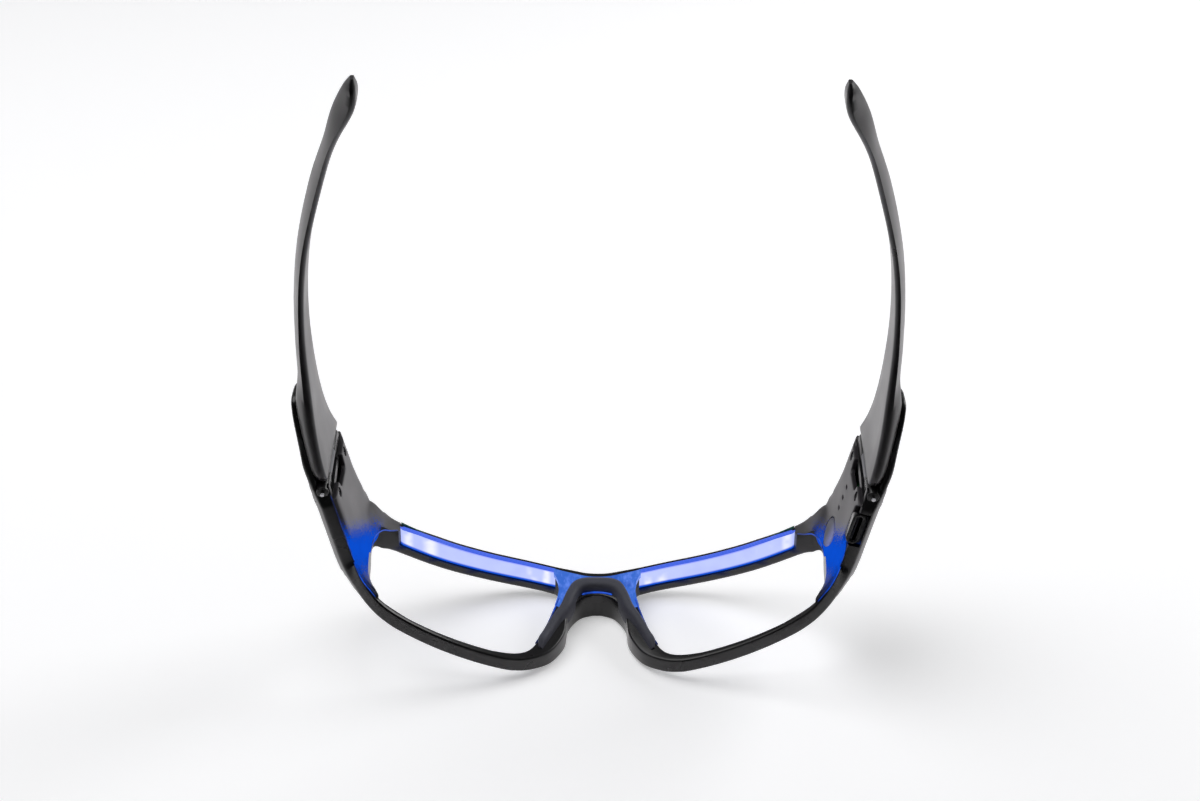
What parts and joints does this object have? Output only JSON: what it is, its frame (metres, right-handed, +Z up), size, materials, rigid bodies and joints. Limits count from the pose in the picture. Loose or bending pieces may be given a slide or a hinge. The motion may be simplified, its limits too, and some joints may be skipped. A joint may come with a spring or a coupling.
{
  "type": "light therapy glasses",
  "caption": "Lensless wrap-around glasses that shine blue-white light down towards the eyes, with folding temples.",
  "frame": {"origin": "centre of the bounding box's footprint, on the surface the glasses stand on", "axes": "+X is the wearer's left, +Y runs from the front to the temple tips, +Z is up"},
  "size_m": [0.1454, 0.1704, 0.0404],
  "materials": {
    "black_shell": "fine satin moulding",
    "charcoal_cover": "fine spark texture",
    "lit_guide": "milky and lit from above",
    "circuit_board": "solder mask",
    "emitter": "clear resin over phosphor",
    "flex_circuit": "amber film",
    "nose_rubber": "soft matte",
    "dark_steel": "blackened",
    "bright_steel": "plated",
    "washer_nylon": "plain",
    "hinge_metal": "cast and tumbled",
    "temple_plastic": "satin moulding",
    "battery_foil": "pouch foil",
    "gloss_bezel": "polished",
    "button_rubber": "soft matte",
    "switch_body": "moulded"
  },
  "bodies": {
    "front": {"front_frame": "black_shell", "inner_cover_left": "charcoal_cover", "inner_cover_right": "charcoal_cover", "light_guide_left": "lit_guide", "light_guide_right": "lit_guide", "led_board_left": "circuit_board", "led_board_right": "circuit_board", "leds_left": "emitter", "leds_right": "emitter", "bridge_flex": "flex_circuit", "nose_pad": "nose_rubber", "cover_screws": "dark_steel", "hinge_pin_left": "bright_steel", "hinge_pin_right": "bright_steel", "hinge_washers": "washer_nylon", "battery": "battery_foil", "control_board": "circuit_board", "charging_socket": "bright_steel", "port_bezel": "gloss_bezel", "tact_switch": "switch_body", "status_lights": "emitter"},
    "left_arm": {"temple_left": "temple_plastic", "temple_lug_left": "hinge_metal"},
    "right_arm": {"temple_right": "temple_plastic", "temple_lug_right": "hinge_metal"},
    "button": {"power_button": "button_rubber"}
  },
  "joints": [
    {"name": "temple_fold_left", "type": "hinge", "parent": "front", "child": "left_arm", "pos_m": [0.06604, -0.03098, 0.022], "axis": [0, 0, 1], "range_deg": [0, 88]},
    {"name": "temple_fold_right", "type": "hinge", "parent": "front", "child": "right_arm", "pos_m": [-0.06604, -0.03098, 0.022], "axis": [0, 0, -1], "range_deg": [0, 78]},
    {"name": "power_button_press", "type": "slide", "parent": "front", "child": "button", "axis": [-0.9681, -0.249, -0.0262], "range_m": [0, 0.00035], "stiffness_N_per_m": 800, "springref_m": -0.001}
  ]
}
